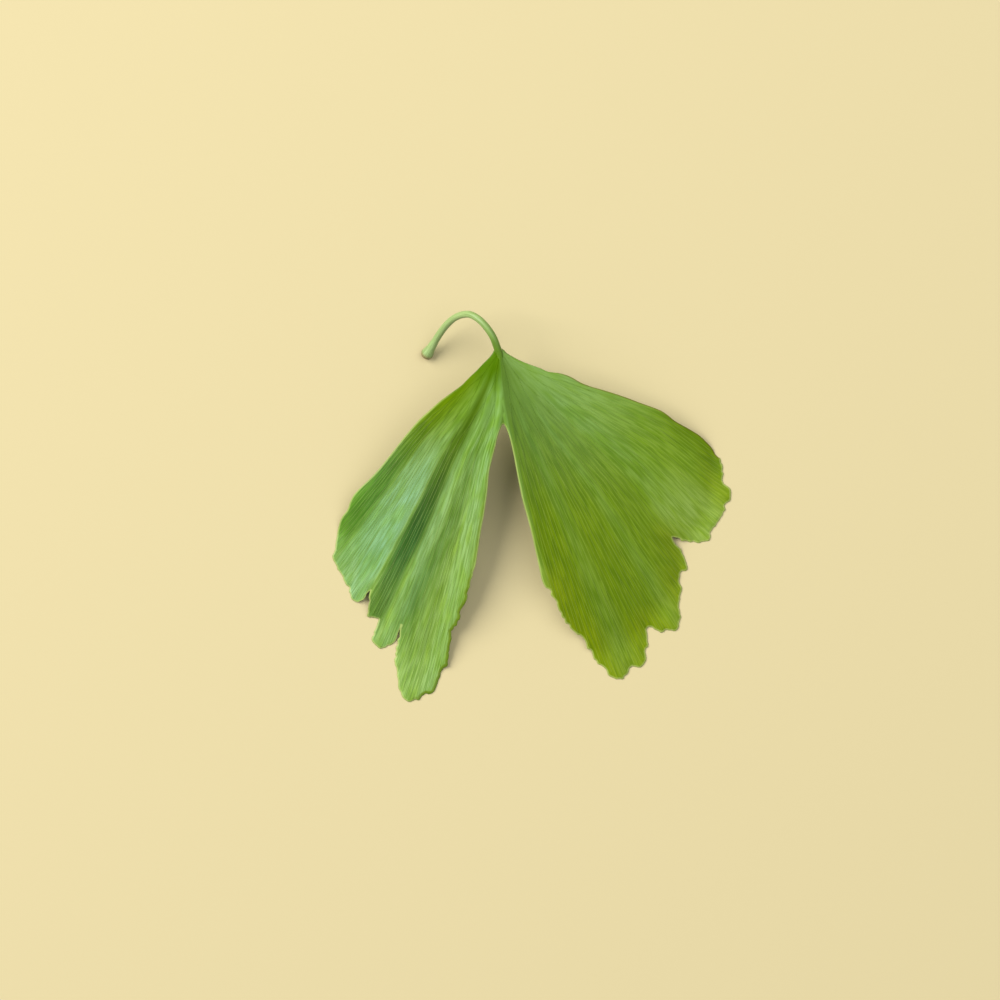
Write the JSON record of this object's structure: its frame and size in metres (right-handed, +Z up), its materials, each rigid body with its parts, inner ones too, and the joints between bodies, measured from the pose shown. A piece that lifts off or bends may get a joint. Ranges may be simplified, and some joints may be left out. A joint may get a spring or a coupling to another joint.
{
  "type": "ginkgo leaf",
  "caption": "Fan-shaped leaf with a deep middle sinus, pleated lobes, an uneven cut margin and a curved petiole, lying upper face up.",
  "frame": {"origin": "on the surface that the leaf lies on, under the middle of its box", "axes": "+Z up from the surface, out of the leaf's upper face; -Y from the petiole towards the tips of the lobes; +X across to the wider lobe"},
  "size_m": [0.0718, 0.0704, 0.0134],
  "materials": {
    "leaf": "matt to satin, finely ribbed"
  },
  "bodies": {
    "root": {"ginkgo_leaf": "leaf"}
  },
  "joints": []
}
